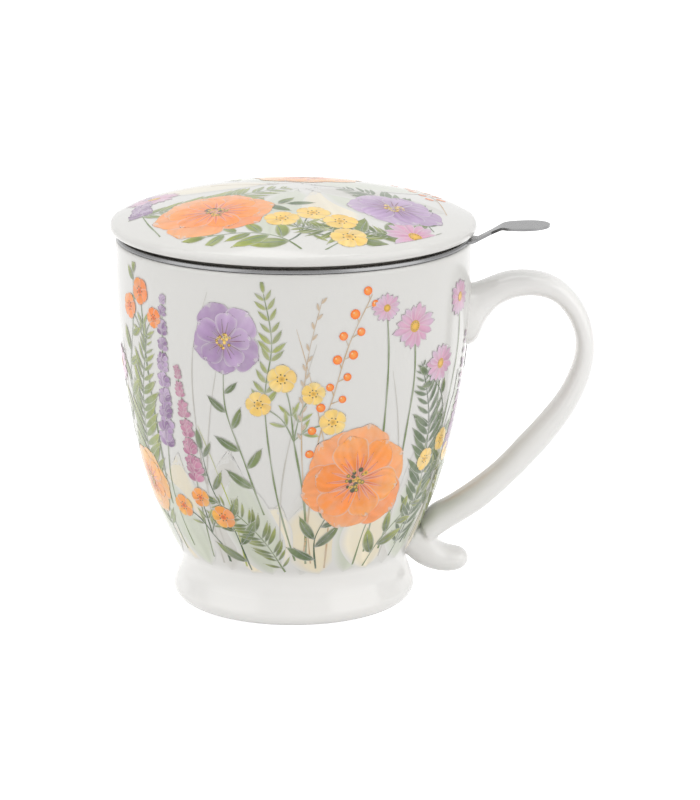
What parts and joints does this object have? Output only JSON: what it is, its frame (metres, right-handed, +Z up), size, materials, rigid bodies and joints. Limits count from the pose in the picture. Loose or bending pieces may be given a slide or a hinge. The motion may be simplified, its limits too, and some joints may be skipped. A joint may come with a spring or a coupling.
{
  "type": "lidded tea mug with infuser",
  "caption": "Footed porcelain tea mug with a side handle, a lift-out steel infuser basket with a lifting tab, and a loose domed porcelain lid.",
  "frame": {"origin": "centre of the foot ring, on the surface the mug stands on", "axes": "+Z up along the mug's axis, +X towards the handle, +Y to the back as seen in the picture"},
  "size_m": [0.1291, 0.097, 0.111],
  "materials": {
    "porcelain": "glossy",
    "infuser_steel": "satin"
  },
  "bodies": {
    "mug": {"mug_body": "porcelain", "mug_handle": "porcelain"},
    "infuser": {"infuser_rim": "infuser_steel", "infuser_wall": "infuser_steel", "infuser_base": "infuser_steel", "infuser_tab": "infuser_steel"},
    "lid": {"lid": "porcelain"}
  },
  "joints": [
    {"name": "infuser_lift", "type": "slide", "parent": "mug", "child": "infuser", "axis": [0, 0, 1], "range_m": [0, 0.08]},
    {"name": "lid_lift", "type": "slide", "parent": "infuser", "child": "lid", "axis": [0, 0, 1], "range_m": [0, 0.06]}
  ]
}
